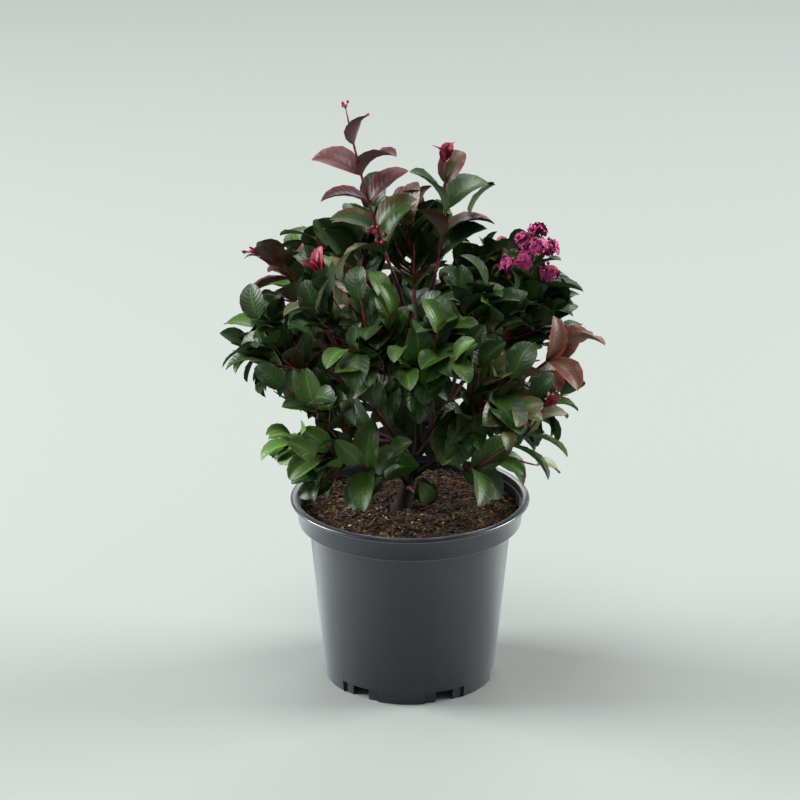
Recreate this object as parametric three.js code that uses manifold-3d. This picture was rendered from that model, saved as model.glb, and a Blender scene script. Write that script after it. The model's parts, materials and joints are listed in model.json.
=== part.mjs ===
// A young crape myrtle in a five litre nursery pot: pot, soil, trunk, boughs and masses of leaves.
// Millimetres, Z up, the origin on the ground under the middle of the pot.
import * as THREE from 'three';
import { mergeVertices } from 'three/addons/utils/BufferGeometryUtils.js';
import Module from 'manifold-3d';

const wasm = await Module();
wasm.setup();

// The pot, moulded in one piece
const POT_HEIGHT = 175;
const RIM_RADIUS = 110;
const LIP_OVERHANG = 5.5;
const COLLAR_HEIGHT = 152;
const COLLAR_RADIUS = 102.5;
const BODY_TOP_RADIUS = 93;
const BODY_FOOT_RADIUS = 79.5;
const WALL = 1.6;
const FOOT_WALL = 4.4;
const BASE_HEIGHT = 13;
const POT_SIDES = 32;
const FEET = 6;
const FOOT_TURN = -5.7;
const NOTCH_WIDTH = 18;
const NOTCH_HEIGHT = 11.5;
const RECESS_WIDTH = 40;
const RECESS_DEPTH = 2.4;

// The soil, which fills the pot to a little under the rim
const SOIL_TOP = 164;
const SOIL_DIP = 1.8;
const SEAT_GAP = 0.3;

// The trunk, short and leaning to the right
const TRUNK_POINTS = [[-7, -3, SOIL_TOP], [-3, -3, 190], [6, 0, 216]];
const TRUNK_RADII = [6.6, 4.8];
const FLARE_RADIUS = 9;
const TRUNK_STEPS = 6;
const TRUNK_SIDES = 6;

// Boughs and twigs: how thick they are, and how much air a cut keeps to the limb beside it
const BOUGH_ROOT_SHARE = 0.8;
const BOUGH_ROOT_MOST = 3.4;
const BOUGH_TIP_RADIUS = 1.8;
const BOUGH_STEPS = 5;
const BOUGH_SIDES = 4;
const CUT_GAP = 0.36;
const STEM_RADII = [1.6, 0.9];
const TWIG_RADII = [1.2, 0.8];
const STEM_STEPS = 3;
const TWIG_STEPS = 2;
const TWIG_SIDES = 3;

// Leaves: in opposite pairs, folded along the rib and arched towards the tip
const PAIR_SPREAD = Math.PI / 3;
const HALF_WIDTH_SHARE = 0.3;
const LEAF_THICKNESS = 1;
const ROOT_DEPTH = 0.1;
const RISE_SHARE = 0.38;
const SLIVER = 0.02;

// The panicle of blossom and the cluster of round buds
const PANICLE_HEIGHT = 40;
const BLOSSOMS = 8;
const BLOSSOM_TURN = 2.4;
const BLOSSOM_RADIUS = 8;
const BUD_RADIUS = 3.6;

// The space that a mass keeps: how far its leaves stay off others, off limbs and off the pot
const SPACE_MARGIN = 2.6;
const TWIG_MARGIN = 4;
const LIMB_MARGIN = 2.2;
const LEAF_MARGIN = 6.6;
const SOIL_MARGIN = 4;
const RIM_MARGIN = 3;
const POT_MOUTH_RADIUS = 97;
const REACH = new THREE.Vector3(175, 152, 555);
const CROWN_MIDDLE = new THREE.Vector3(0, 0, 290);
const UP = new THREE.Vector3(0, 0, 1);
const FRONT = new THREE.Vector3(0, -1, 0.001);

// Each row is a bough and the mass that it carries: the limb it leaves and at what share of its
// length, the bough's tip, the mass's tip, pairs of leaves, forks, seed, length of a leaf, its end
const MASSES = [
  ['crown_top', 'trunk', 1.0, [-17, -25, 400], [-57, -30, 551], 5, 1, 404, 52, 'buds'],
  ['crown_right', 'crown_top', 0.35, [23, 5, 388], [30, 16, 491], 4, 1, 677, 64, 'shoot'],
  ['shoulder', 'crown_top', 0.62, [-34, 8, 372], [-28, 19, 443], 4, 1, 69, 60, 'leaf'],
  ['left_back', 'trunk', 0.6, [-86, 34, 290], [-144, 52, 322], 4, 1, 179, 54, 'leaf'],
  ['left_high', 'left_back', 0.45, [-84, 8, 350], [-138, 2, 404], 4, 2, 210, 50, 'shoot'],
  ['whorl', 'left_high', 0.35, [-50, -52, 336], [-82, -75, 416], 4, 2, 497, 64, 'shoot'],
  ['left_mid', 'left_high', 0.6, [-92, -35, 314], [-138, -50, 366], 4, 2, 488, 58, 'leaf'],
  ['left_lower', 'trunk', 0.72, [-55, -42, 256], [-112, -76, 310], 4, 2, 206, 60, 'leaf'],
  ['left_bottom', 'left_lower', 0.45, [-48, -50, 240], [-107, -87, 258], 4, 2, 378, 52, 'leaf'],
  ['front_left_low', 'trunk', 0.4, [-20, -42, 212], [-44, -100, 247], 4, 1, 382, 50, 'leaf'],
  ['right_bronze', 'trunk', 0.85, [76, -30, 284], [143, -56, 346], 4, 2, 470, 56, 'leaf'],
  ['right_flower', 'right_bronze', 0.45, [84, 0, 322], [107, -20, 394], 4, 2, 1, 60, 'panicle'],
  ['right_mid', 'right_bronze', 0.55, [52, -62, 278], [92, -109, 330], 4, 2, 259, 56, 'leaf'],
  ['right_low', 'trunk', 0.5, [72, -20, 226], [124, -19, 273], 4, 2, 355, 50, 'shoot'],
  ['right_bottom', 'right_low', 0.4, [44, -40, 218], [94, -72, 258], 4, 1, 780, 50, 'leaf'],
  ['centre', 'crown_top', 0.25, [14, -66, 320], [24, -119, 375], 4, 2, 359, 56, 'leaf'],
  ['centre_left', 'crown_top', 0.45, [-20, -66, 330], [-44, -96, 400], 4, 2, 628, 54, 'leaf'],
  ['centre_right', 'crown_right', 0.4, [42, -38, 342], [66, -58, 398], 4, 2, 156, 56, 'leaf'],
  ['heart', 'centre', 0.36, [0, -26, 296], [-7, -28, 338], 3, 2, 150, 52, 'leaf'],
  ['rear_top', 'crown_top', 0.5, [4, 40, 366], [-8, 63, 436], 4, 1, 570, 62, 'buds'],
  ['rear_left_high', 'left_back', 0.7, [-54, 62, 330], [-92, 94, 396], 4, 2, 89, 62, 'leaf'],
  ['rear_left_low', 'left_back', 0.4, [-46, 58, 256], [-84, 109, 279], 4, 1, 7, 64, 'leaf'],
  ['rear_right', 'trunk', 0.78, [56, 50, 278], [130, 96, 332], 4, 1, 62, 52, 'leaf'],
  ['rear_right_high', 'rear_right', 0.6, [52, 56, 336], [84, 80, 386], 4, 1, 85, 52, 'shoot'],
  ['rear_mid', 'rear_right', 0.35, [6, 66, 288], [25, 119, 353], 4, 2, 641, 56, 'leaf'],
  ['rear_low', 'trunk', 0.35, [0, 48, 218], [8, 104, 244], 4, 1, 165, 50, 'leaf'],
  ['right_rear_low', 'right_low', 0.3, [60, 24, 236], [146, 39, 259], 4, 1, 187, 52, 'leaf'],
  ['foot_sprig', 'trunk', 0.34, [6, -22, 184], [16, -62, 192], 3, 0, 8, 40, 'leaf'],
].map(([name, parent, share, tip, end, pairs, forks, seed, leaf, ending]) => ({
  name,
  parent,
  share,
  tip: new THREE.Vector3(...tip),
  end: new THREE.Vector3(...end),
  pairs,
  forks,
  seed,
  leaf,
  ending,
}));
const BRONZE_MASSES = ['crown_top', 'crown_right', 'left_high', 'right_bronze'];

// A leaf that does not fit is turned about the stem, closed up or made smaller, in this order
const TRIES = [
  [0, 1, 1],
  [0.4, 1, 1],
  [-0.4, 1, 1],
  [0, 0.65, 0.95],
  [0.8, 0.9, 0.9],
  [-0.8, 0.9, 0.9],
  [0, 1, 0.75],
  [0.4, 0.8, 0.75],
  [-0.4, 0.8, 0.75],
  [0, 0.5, 0.7],
];

// Materials
const plastic = new THREE.MeshStandardMaterial({ color: 0x34383c, roughness: 0.45, metalness: 0 });
const compost = new THREE.MeshStandardMaterial({ color: 0x4a3322, roughness: 0.95, metalness: 0 });
const bark = new THREE.MeshStandardMaterial({ color: 0x4b2f2a, roughness: 0.8, metalness: 0 });
const greenLeaf = new THREE.MeshStandardMaterial({ color: 0x2c4a24, roughness: 0.4, metalness: 0 });
const bronzeLeaf = new THREE.MeshStandardMaterial({ color: 0x5e4038, roughness: 0.4, metalness: 0 });

// Seeded numbers, the same on every run: each is the last times 48271, over the prime 2^31 - 1
class Dice {
  constructor(seed) {
    this.state = ((seed + 11) * 7919) % 2147483647;
    for (let spare = 0; spare < 3; spare++) this.roll();
  }
  roll() {
    this.state = (this.state * 48271) % 2147483647;
    return this.state / 2147483647;
  }
  between(low, high) {
    return low + (high - low) * this.roll();
  }
}

// A point moved along a direction, and a direction made square to an axis
const moved = (point, way, distance) => point.clone().addScaledVector(way, distance);
const squareTo = (way, axis) => moved(way, axis, -way.dot(axis)).normalize();

// A direction at an angle round an axis, measured from the front
function around(axis, angle) {
  const front = squareTo(FRONT, axis);
  const side = new THREE.Vector3().crossVectors(axis, front);
  return front.multiplyScalar(Math.cos(angle)).addScaledVector(side, Math.sin(angle));
}

// A limb is a quadratic curve whose radius falls evenly from root to tip
class Limb {
  constructor(root, rootWay, lead, tip, radii, steps) {
    const bend = moved(root, rootWay, root.distanceTo(tip) * lead);
    this.curve = new THREE.QuadraticBezierCurve3(root, bend, tip);
    this.radii = radii;
    this.shares = Array.from({ length: steps + 1 }, (_, i) => i / steps);
    this.points = this.shares.map((share) => this.at(share));
  }
  at(share) {
    return this.curve.getPoint(share);
  }
  way(share) {
    const { v0, v1, v2 } = this.curve;
    const first = v1.clone().sub(v0).multiplyScalar(1 - share);
    return first.addScaledVector(v2.clone().sub(v1), share).normalize();
  }
  radius(share) {
    return this.radii[0] + (this.radii[1] - this.radii[0]) * share;
  }
}

function growTrunk() {
  const [foot, bend, top] = TRUNK_POINTS.map((point) => new THREE.Vector3(...point));
  const way = bend.clone().sub(foot).normalize();
  const lead = foot.distanceTo(bend) / foot.distanceTo(top);
  return new Limb(foot, way, lead, top, TRUNK_RADII, TRUNK_STEPS);
}

// A bough leaves its parent partly along it, then turns to its own tip
function growBough(row, parent) {
  const root = parent.at(row.share);
  const out = row.tip.clone().sub(root).normalize();
  const way = parent.way(row.share).multiplyScalar(0.6).addScaledVector(out, 0.7).normalize();
  const thick = Math.min(parent.radius(row.share) * BOUGH_ROOT_SHARE, BOUGH_ROOT_MOST);
  const radii = [thick, Math.min(thick, BOUGH_TIP_RADIUS)];
  return new Limb(root, way, 0.5, row.tip, radii, BOUGH_STEPS);
}

const limbs = { trunk: growTrunk() };
for (const row of MASSES) limbs[row.name] = growBough(row, limbs[row.parent]);

// The distance from a point to a straight stretch
function distanceToStretch(point, from, to) {
  const along = to.clone().sub(from);
  const share = point.clone().sub(from).dot(along) / along.lengthSq();
  return point.distanceTo(moved(from, along, Math.min(Math.max(share, 0), 1)));
}

// Every straight stretch of every limb, with its middle radius
const stretches = Object.values(limbs).flatMap((limb) => limb.points.slice(1).map((to, i) => ({
  from: limb.points[i],
  to,
  radius: (limb.radius(limb.shares[i]) + limb.radius(limb.shares[i + 1])) / 2,
})));

// True where points are nearer to their own mass's axis than to any other, and off all limbs
function inSpace(row, points, spaceMargin, limbMargin) {
  return points.every((point) => {
    const reach = distanceToStretch(point, row.tip, row.end) + spaceMargin;
    const alone = MASSES.every((other) => other === row
      || distanceToStretch(point, other.tip, other.end) >= reach);
    return alone && stretches.every(({ from, to, radius }) =>
      distanceToStretch(point, from, to) - radius >= limbMargin);
  });
}

// True where a point is off the soil and the rim, and within the plant's whole reach
function overPot(point) {
  const inMouth = Math.hypot(point.x, point.y) < POT_MOUTH_RADIUS;
  const floor = inMouth ? SOIL_TOP + SOIL_MARGIN : POT_HEIGHT + RIM_MARGIN;
  return point.z >= floor && point.z <= REACH.z
    && Math.abs(point.x) <= REACH.x && Math.abs(point.y) <= REACH.y;
}

// A leaf: its rib is an arc that rises and then falls, and its halves fold up from the rib
class Leaf {
  constructor(base, axis, normal, length, arch, fold) {
    Object.assign(this, { base, axis, normal, length, arch, fold });
    this.side = new THREE.Vector3().crossVectors(normal, axis);
  }
  turn(share) {
    return this.arch * (share - RISE_SHARE);
  }
  rib(share) {
    const from = this.turn(0);
    const to = this.turn(share);
    const run = this.length * (Math.sin(to) - Math.sin(from)) / this.arch;
    const rise = this.length * (Math.cos(to) - Math.cos(from)) / this.arch;
    return moved(moved(this.base, this.axis, run), this.normal, rise);
  }
  normalAt(share) {
    const turn = this.turn(share);
    const normal = this.normal.clone().multiplyScalar(Math.cos(turn));
    return normal.addScaledVector(this.axis, Math.sin(turn));
  }
  edge(share, width, hand) {
    const half = this.length * HALF_WIDTH_SHARE * width;
    const out = moved(this.rib(share), this.side, hand * half * Math.cos(this.fold));
    return out.addScaledVector(this.normalAt(share), half * Math.sin(this.fold));
  }
  testPoints() {
    const ribs = [0.3, 0.5, 0.75, 1].map((share) => this.rib(share));
    const edges = [[0.3, 0.86], [0.5, 1], [0.68, 0.8]].flatMap(([share, width]) =>
      [this.edge(share, width, 1), this.edge(share, width, -1)]);
    return [...ribs, ...edges];
  }
}

// One mass: a stem with pairs of leaves, and forks from its sides with pairs of their own.
// Stems that end in buds, blossom or a young shoot hold their pairs flat, to left and right
class Mass {
  constructor(row) {
    this.row = row;
    this.dice = new Dice(row.seed);
    this.twigs = [];
    this.leaves = [];
    this.taken = [];
    this.beads = [];
    this.grow();
  }
  grow() {
    const { row, dice } = this;
    const flat = row.ending !== 'leaf';
    const turn = flat ? Math.PI / 2 + dice.between(-0.25, 0.25) : dice.between(0, Math.PI);
    const stem = new Limb(row.tip, limbs[row.name].way(1), 0.45, row.end, STEM_RADII, STEM_STEPS);
    this.shoot(stem, row.pairs, turn, row.leaf, 0.1, row.ending);
    for (let fork = 0; fork < row.forks; fork++) {
      for (const hand of [1, -1]) this.fork(stem, turn, fork, hand);
    }
  }
  fork(stem, turn, fork, hand) {
    const { row, dice } = this;
    const share = 0.12 + 0.34 * fork;
    const root = stem.at(share);
    const quarter = Math.PI / 2 * (fork + 0.5) + (hand > 0 ? 0 : Math.PI);
    const out = around(stem.way(share), turn + quarter + dice.between(-0.3, 0.3));
    const way = stem.way(share).multiplyScalar(0.75).addScaledVector(out, 0.8)
      .addScaledVector(UP, 0.1).normalize();
    const reach = row.tip.distanceTo(row.end) * dice.between(0.5, 0.65);
    const tests = [0.35, 0.675, 1].map((part) => moved(root, way, reach * part));
    if (!inSpace(row, tests, TWIG_MARGIN, TWIG_MARGIN)) return;
    const start = way.clone().multiplyScalar(0.8).addScaledVector(out, 0.4).normalize();
    const twig = new Limb(root, start, 0.45, moved(root, way, reach), TWIG_RADII, TWIG_STEPS);
    this.shoot(twig, 2, turn + fork + hand, row.leaf * 0.9, 0.5, 'leaf');
  }
  shoot(twig, pairs, turn, leaf, first, ending) {
    this.twigs.push(twig);
    const flat = ending !== 'leaf';
    const step = flat ? this.dice.between(-0.2, 0.2) : this.dice.between(0.25, 1.35);
    const last = ending === 'buds' || ending === 'shoot' ? 0.78 : 0.94;
    for (let pair = 0; pair < pairs; pair++) {
      const share = first + (last - first) * pair / (pairs - 1);
      const young = pair === pairs - 1;
      const length = leaf * (young ? 0.7 : 1 - 0.1 * share);
      this.pair(twig, share, turn + pair * step, length, PAIR_SPREAD * (young ? 0.6 : 1));
    }
    if (ending === 'shoot') this.pair(twig, 0.95, turn + step * pairs, leaf * 0.4, 0.5);
    if (ending === 'panicle') this.panicle(twig);
    if (ending === 'buds') this.buds(twig);
  }
  pair(twig, share, angle, length, spread) {
    for (const half of [0, Math.PI]) this.leaf(twig, share, angle + half, length, spread);
  }
  leaf(twig, share, angle, length, spread) {
    const { dice, row } = this;
    const jitter = dice.between(-0.25, 0.25);
    const arch = dice.between(0.8, 1.5);
    const fold = dice.between(0.25, 0.5);
    const grown = length * dice.between(0.85, 1.1);
    const lean = dice.between(-0.3, 0.3);
    const base = twig.at(share);
    const way = twig.way(share);
    const outward = base.clone().sub(CROWN_MIDDLE).normalize();
    const light = UP.clone().multiplyScalar(0.62).addScaledVector(outward, 0.55);
    for (const [turn, open, size] of TRIES) {
      const axis = way.clone().multiplyScalar(Math.cos(spread * open))
        .addScaledVector(around(way, angle + jitter + turn), Math.sin(spread * open)).normalize();
      const level = squareTo(light, axis);
      const side = new THREE.Vector3().crossVectors(level, axis);
      const normal = level.multiplyScalar(Math.cos(lean)).addScaledVector(side, Math.sin(lean));
      const leaf = new Leaf(base, axis, normal, grown * size, arch, fold);
      const tests = leaf.testPoints();
      const free = tests.every((point) => this.taken.every((other) =>
        point.distanceTo(other) >= LEAF_MARGIN));
      if (free && tests.every(overPot) && inSpace(row, tests, SPACE_MARGIN, LIMB_MARGIN)) {
        this.leaves.push(leaf);
        this.taken.push(...tests);
        return;
      }
    }
  }
  // A panicle: a straight axis with blossoms round it on short stalks, wide below, narrow above
  panicle(twig) {
    const foot = twig.at(1);
    const way = twig.way(1).add(UP).normalize();
    const left = squareTo(new THREE.Vector3(-1, 0, 0), way);
    const far = new THREE.Vector3().crossVectors(way, left);
    this.twigs.push(new Limb(foot, way, 0.5, moved(foot, way, PANICLE_HEIGHT), TWIG_RADII, 1));
    for (let bloom = 0; bloom < BLOSSOMS; bloom++) {
      const share = bloom / (BLOSSOMS - 1);
      const angle = BLOSSOM_TURN * bloom;
      const out = 21 - 13 * share + this.dice.between(-2, 2);
      const onAxis = moved(foot, way, 6 + 34 * share);
      const ray = left.clone().multiplyScalar(Math.cos(angle)).addScaledVector(far, Math.sin(angle));
      const centre = moved(onAxis, ray, out);
      this.beads.push({ from: moved(onAxis, way, -4), centre, radius: BLOSSOM_RADIUS });
    }
  }
  // Buds crowded on the tip of a stem, as one bead
  buds(twig) {
    this.beads.push({ from: twig.at(0.97), centre: twig.at(1), radius: BUD_RADIUS });
  }
}

// Solids: points and triangles made one closed body, which can be joined and cut
function solid(points, triangles) {
  return new wasm.Manifold(new wasm.Mesh({
    numProp: 3,
    vertProperties: new Float32Array(points.flatMap((point) => point.toArray())),
    triVerts: new Uint32Array(triangles.flat()),
  }));
}

// A geometry as such a body, with its doubled points merged first
function merged(geometry) {
  geometry.deleteAttribute('normal');
  geometry.deleteAttribute('uv');
  return mergeVertices(geometry);
}

function solidOf(geometry) {
  const plain = merged(geometry);
  return new wasm.Manifold(new wasm.Mesh({
    numProp: 3,
    vertProperties: new Float32Array(plain.attributes.position.array),
    triVerts: new Uint32Array(plain.index.array),
  }));
}

// The largest piece of a cut or joined solid, without the slivers that the joining left
function largest(whole) {
  const pieces = whole.decompose().sort((a, b) => b.volume() - a.volume());
  return pieces[0].simplify(SLIVER);
}

// A tube along a limb: rings square to it, swollen by a gap where it serves as a cutter
function tube(limb, sides, { gap = 0, rootShift = 0, tipShift = 0, rootRadius = 0 } = {}) {
  const last = limb.shares.length - 1;
  const points = limb.shares.flatMap((share, ring) => {
    const way = limb.way(share);
    const shift = (ring === 0 ? rootShift : 0) + (ring === last ? tipShift : 0);
    const middle = moved(limb.points[ring], way, shift);
    const radius = (ring === 0 && rootRadius ? rootRadius : limb.radius(share)) + gap;
    return Array.from({ length: sides }, (_, side) =>
      moved(middle, around(way, 2 * Math.PI * side / sides), radius));
  });
  const triangles = [];
  for (let ring = 0; ring < last; ring++) {
    for (let side = 0; side < sides; side++) {
      const a = ring * sides + side;
      const b = ring * sides + (side + 1) % sides;
      triangles.push([a, b, b + sides], [a, b + sides, a + sides]);
    }
  }
  for (let side = 1; side < sides - 1; side++) {
    triangles.push([0, side + 1, side]);
    triangles.push([last * sides, last * sides + side, last * sides + side + 1]);
  }
  return solid(points, triangles);
}

// A leaf's solid: six points round its outline and one on each face, where it is thickest
function leafSolid(leaf) {
  const middle = leaf.rib(0.48);
  const up = leaf.normalAt(0.48);
  const points = [
    moved(leaf.base, leaf.axis, -ROOT_DEPTH),
    leaf.edge(0.3, 0.9, -1),
    leaf.edge(0.68, 0.86, -1),
    leaf.rib(1),
    leaf.edge(0.68, 0.86, 1),
    leaf.edge(0.3, 0.9, 1),
    moved(middle, up, LEAF_THICKNESS / 2),
    moved(middle, up, -LEAF_THICKNESS / 2),
  ];
  return solid(points, [0, 1, 2, 3, 4, 5].flatMap((point) => {
    const next = (point + 1) % 6;
    return [[6, point, next], [7, next, point]];
  }));
}

// A blossom or bud: four sides that widen from its stalk's root and close again at its top
function beadSolid({ from, centre, radius }) {
  const way = centre.clone().sub(from).normalize();
  const ring = [0, 1, 2, 3].map((side) => moved(centre, around(way, Math.PI / 2 * side), radius));
  return solid([from, ...ring, moved(centre, way, radius)], [1, 2, 3, 4].flatMap((point) => {
    const next = point % 4 + 1;
    return [[0, next, point], [5, point, next]];
  }));
}

function massSolid(row) {
  const mass = new Mass(row);
  const [stem, ...twigs] = mass.twigs;
  let whole = tube(stem, TWIG_SIDES, { rootShift: SEAT_GAP });
  for (const twig of twigs) whole = whole.add(tube(twig, TWIG_SIDES));
  for (const leaf of mass.leaves) whole = whole.add(leafSolid(leaf));
  for (const bead of mass.beads) whole = whole.add(beadSolid(bead));
  return largest(whole);
}

// The trunk flares at its foot, which is cut flat a seat's gap above the soil
function trunkSolid() {
  const ground = new THREE.BoxGeometry(60, 60, 20);
  ground.translate(0, 0, SOIL_TOP + SEAT_GAP - 10);
  const whole = tube(limbs.trunk, TRUNK_SIDES, { rootShift: -3, rootRadius: FLARE_RADIUS });
  return whole.subtract(solidOf(ground));
}

// A bough is cut clear of its parent and of every limb that was made before it
function boughSolid(name, cutters) {
  let bough = tube(limbs[name], BOUGH_SIDES);
  for (const cutter of cutters) bough = bough.subtract(cutter);
  return largest(bough);
}

function cutterOf(limb) {
  const options = { gap: CUT_GAP, rootShift: -CUT_GAP, tipShift: CUT_GAP };
  return tube(limb, limb === limbs.trunk ? TRUNK_SIDES : BOUGH_SIDES, options);
}

// A profile of radius and height turned round the upright axis
function lathe(outline) {
  const points = outline.map(([radius, height]) => new THREE.Vector2(radius, height));
  return new THREE.LatheGeometry(points, POT_SIDES).rotateX(Math.PI / 2);
}

// A block that reaches through the foot of the wall, turned round the pot from the front
function footCutter(width, turn) {
  const block = new THREE.BoxGeometry(width, 26, NOTCH_HEIGHT + 1);
  block.translate(0, -BODY_FOOT_RADIUS, (NOTCH_HEIGHT - 1) / 2);
  return solidOf(block.rotateZ(turn));
}

// The pot's inner wall, from the corner over the base up to the ledge in the collar
const INNER_WALL = [
  [BODY_FOOT_RADIUS - 0.4, BASE_HEIGHT + WALL],
  [BODY_TOP_RADIUS - WALL - 0.1, COLLAR_HEIGHT - 1.5],
  [COLLAR_RADIUS - WALL, COLLAR_HEIGHT + 2.6],
];

// The pot: a thin wall with a collar and a rolled lip, on a foot with notches and shallow recesses
function potSolid() {
  const lip = RIM_RADIUS - LIP_OVERHANG;
  let pot = solidOf(lathe([
    [0, BASE_HEIGHT],
    [BODY_FOOT_RADIUS - FOOT_WALL, BASE_HEIGHT],
    [BODY_FOOT_RADIUS - FOOT_WALL, 0],
    [BODY_FOOT_RADIUS - 1.2, 0],
    [BODY_FOOT_RADIUS, 1.4],
    [BODY_TOP_RADIUS, COLLAR_HEIGHT - 1.5],
    [COLLAR_RADIUS, COLLAR_HEIGHT],
    [lip, POT_HEIGHT - 3.6],
    [RIM_RADIUS - 0.6, POT_HEIGHT - 3.2],
    [RIM_RADIUS, POT_HEIGHT - 1.6],
    [RIM_RADIUS - 1.2, POT_HEIGHT],
    [RIM_RADIUS - 4.4, POT_HEIGHT],
    [lip - 1.8, POT_HEIGHT - 5.5],
    [lip - 3.2, POT_HEIGHT - 6.4],
    ...INNER_WALL.toReversed(),
    [0, BASE_HEIGHT + WALL],
  ]));
  const ring = solidOf(lathe([
    [BODY_FOOT_RADIUS - RECESS_DEPTH, -1],
    [BODY_FOOT_RADIUS + 9, -1],
    [BODY_FOOT_RADIUS + 9, NOTCH_HEIGHT],
    [BODY_FOOT_RADIUS - RECESS_DEPTH, NOTCH_HEIGHT],
    [BODY_FOOT_RADIUS - RECESS_DEPTH, -1],
  ]));
  for (let foot = 0; foot < FEET; foot++) {
    const turn = THREE.MathUtils.degToRad(FOOT_TURN + 360 / FEET * (foot + 0.5));
    pot = pot.subtract(footCutter(RECESS_WIDTH, turn).intersect(ring));
    pot = pot.subtract(footCutter(NOTCH_WIDTH, turn));
  }
  return pot;
}

// The soil stands a seat's gap off the pot all round, and dips between the trunk and the wall
function soilSolid() {
  const gap = 1.2 * SEAT_GAP;
  const inner = INNER_WALL.map(([radius, height]) => [radius - gap, height + SEAT_GAP]);
  const edge = COLLAR_RADIUS - WALL;
  const rings = [edge - 2, 78, 54, 30, 0].map((radius) => [radius, SOIL_TOP]);
  const soil = merged(lathe([[0, inner[0][1]], ...inner, [edge, SOIL_TOP - 1], ...rings]));
  const place = soil.attributes.position;
  for (let i = 0; i < place.count; i++) {
    const radius = Math.hypot(place.getX(i), place.getY(i));
    if (place.getZ(i) < SOIL_TOP || radius < 40 || radius > 90) continue;
    const wave = Math.sin(place.getX(i) / 17) * Math.cos(place.getY(i) / 23);
    place.setZ(i, SOIL_TOP - SOIL_DIP * (0.5 + 0.5 * wave));
  }
  return solidOf(soil);
}

// The whole plant in its pot
const plant = new THREE.Group();

function addPiece(name, body, material) {
  const mesh = body.getMesh();
  const geometry = new THREE.BufferGeometry();
  geometry.setAttribute('position', new THREE.BufferAttribute(new Float32Array(mesh.vertProperties), 3));
  geometry.setIndex(new THREE.BufferAttribute(new Uint32Array(mesh.triVerts), 1));
  geometry.computeVertexNormals();
  const piece = new THREE.Mesh(geometry, material);
  piece.name = name;
  plant.add(piece);
}

addPiece('pot', potSolid(), plastic);
addPiece('soil', soilSolid(), compost);
addPiece('trunk', trunkSolid(), bark);
const cutters = [cutterOf(limbs.trunk)];
for (const row of MASSES) {
  addPiece(`bough_${row.name}`, boughSolid(row.name, cutters), bark);
  cutters.push(cutterOf(limbs[row.name]));
}
for (const row of MASSES) {
  const material = BRONZE_MASSES.includes(row.name) ? bronzeLeaf : greenLeaf;
  addPiece(`leaves_${row.name}`, massSolid(row), material);
}

export default plant;
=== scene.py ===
import json
import math

import bmesh
import bpy
import numpy as np
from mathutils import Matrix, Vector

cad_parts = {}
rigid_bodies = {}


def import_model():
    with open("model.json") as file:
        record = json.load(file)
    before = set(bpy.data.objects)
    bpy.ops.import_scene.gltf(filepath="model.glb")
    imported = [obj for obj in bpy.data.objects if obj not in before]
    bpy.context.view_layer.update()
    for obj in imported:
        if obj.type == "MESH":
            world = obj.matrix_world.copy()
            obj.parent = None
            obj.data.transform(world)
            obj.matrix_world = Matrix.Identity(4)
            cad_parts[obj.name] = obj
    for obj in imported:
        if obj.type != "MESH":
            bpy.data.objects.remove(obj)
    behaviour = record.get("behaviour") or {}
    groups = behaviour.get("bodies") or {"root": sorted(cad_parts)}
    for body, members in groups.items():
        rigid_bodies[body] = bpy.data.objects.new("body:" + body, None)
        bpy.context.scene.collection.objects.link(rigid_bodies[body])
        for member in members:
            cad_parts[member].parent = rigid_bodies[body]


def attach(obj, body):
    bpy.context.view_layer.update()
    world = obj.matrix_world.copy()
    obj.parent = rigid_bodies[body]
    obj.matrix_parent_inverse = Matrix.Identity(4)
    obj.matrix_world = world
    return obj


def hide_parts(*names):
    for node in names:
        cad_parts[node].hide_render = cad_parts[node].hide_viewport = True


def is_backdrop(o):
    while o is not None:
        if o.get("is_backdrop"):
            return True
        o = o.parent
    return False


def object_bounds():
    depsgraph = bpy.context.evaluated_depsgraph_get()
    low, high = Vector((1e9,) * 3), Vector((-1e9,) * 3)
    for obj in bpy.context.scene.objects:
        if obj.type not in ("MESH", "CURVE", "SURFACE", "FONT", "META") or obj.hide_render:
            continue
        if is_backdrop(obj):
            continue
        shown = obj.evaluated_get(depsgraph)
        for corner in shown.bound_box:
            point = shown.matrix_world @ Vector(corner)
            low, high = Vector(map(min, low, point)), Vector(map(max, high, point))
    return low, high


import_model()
cad_low, cad_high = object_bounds()

# The pot: charcoal polypropylene, injection moulded in one piece with a collar, a rolled lip and a
# foot ring whose notches let water out. The notches and the recesses beside them are cut from it.
# Sizes are in millimetres and turns in degrees.
RIM_RADIUS = 110
POT_HEIGHT = 175
COLLAR_HEIGHT = 152
COLLAR_RADIUS = 102.5
BODY_TOP_RADIUS = 93
BODY_FOOT_RADIUS = 79.5
BASE_HEIGHT = 13
WALL = 1.6
LIP_ROLL = 1.7
FOOT_RING = 4.4
NOTCH_HEIGHT = 11.5
NOTCH_HALF, NOTCH_DEPTH = 6.5, 9
RECESS_HALF, RECESS_DEPTH = 14.3, 2.4
CUTTER_STEPS = 13
SHARP_EDGE = 0.6
FEET = 6
FOOT_TURN = -5.7
POT_SIDES = 216


def arc(radius, height, size, start, end, steps=6):
    """Points on a circle of that size in the pot's profile, from one angle to another in degrees."""
    angles = np.radians(np.linspace(start, end, steps))
    return np.stack([radius + size * np.cos(angles), height + size * np.sin(angles)], 1)


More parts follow.
